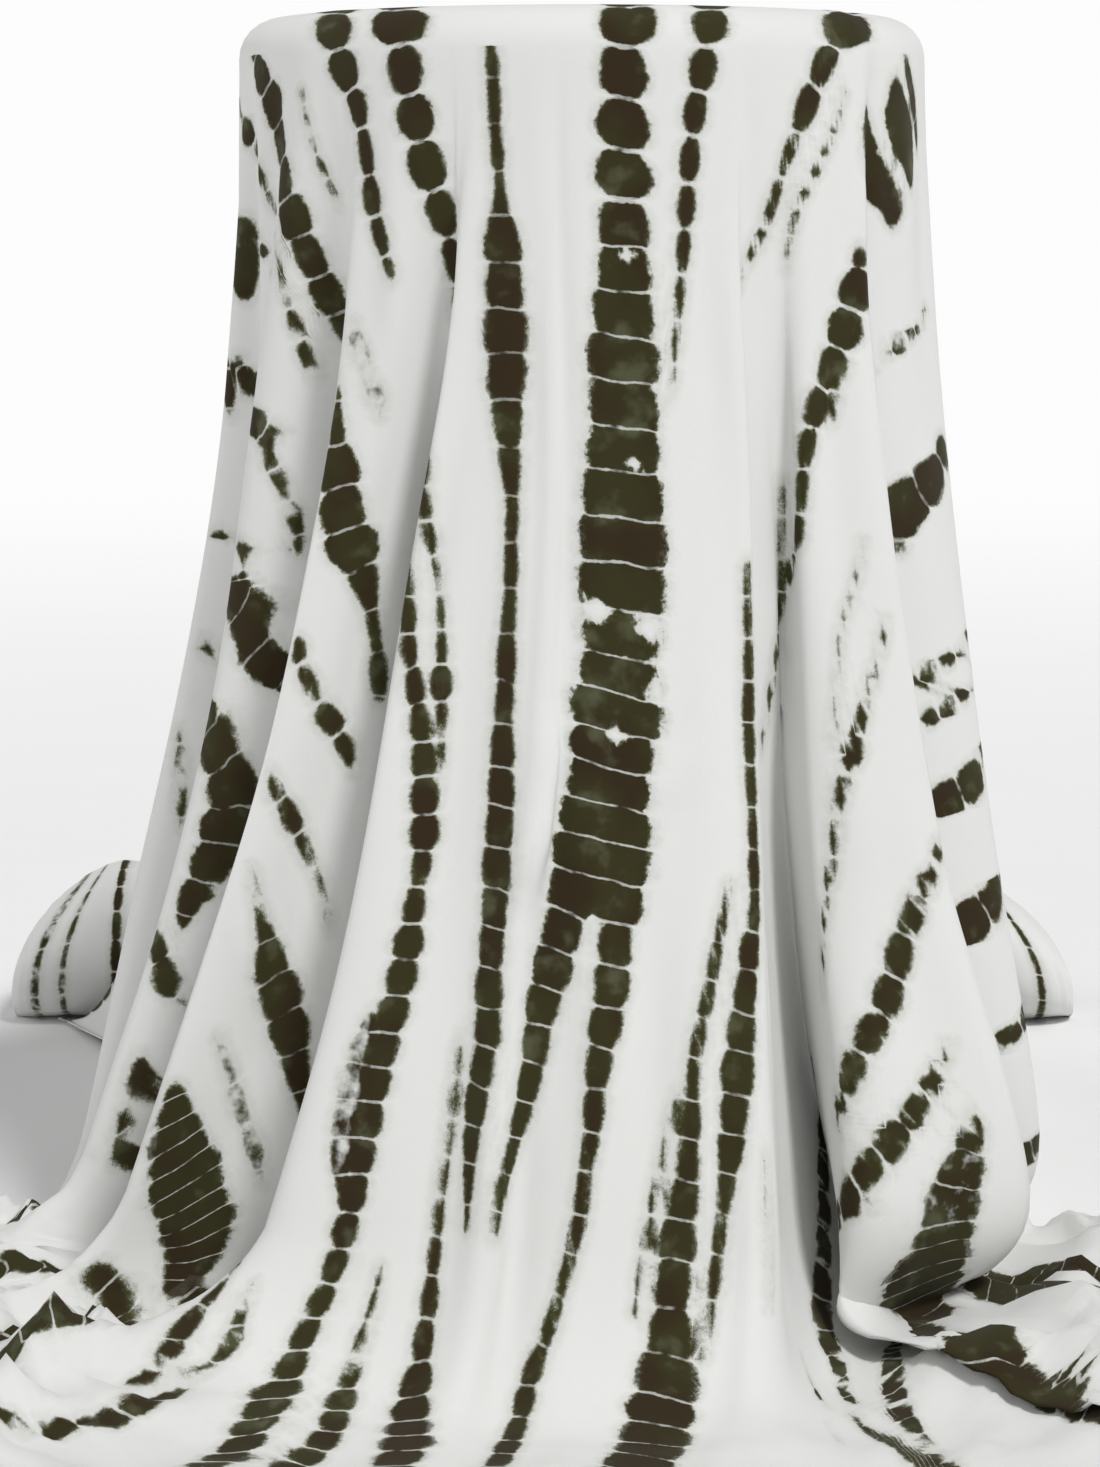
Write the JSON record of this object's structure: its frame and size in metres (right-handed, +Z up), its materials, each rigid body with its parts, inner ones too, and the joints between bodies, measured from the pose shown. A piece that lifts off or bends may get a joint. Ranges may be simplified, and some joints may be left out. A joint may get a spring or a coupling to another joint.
{
  "type": "jersey knit fabric draped over a round stand",
  "caption": "Tie-dyed jersey knit fabric draped over a round stand, pooling on the floor, with the rest of its length on a roll behind.",
  "frame": {"origin": "middle of the round stand's foot, on the floor", "axes": "+Z up, the front of the drape faces -Y, and the roll lies behind along X"},
  "size_m": [1.648, 1.9926, 1.1223],
  "materials": {
    "printed_jersey": "matte knit, white with dark olive tie-dyed columns",
    "wound_jersey": "matte knit, white with dark olive tie-dyed columns",
    "pale_board": "painted board"
  },
  "bodies": {
    "root": {"draped_cloth": "printed_jersey", "cloth_roll": "wound_jersey", "round_stand": "pale_board"}
  },
  "joints": []
}
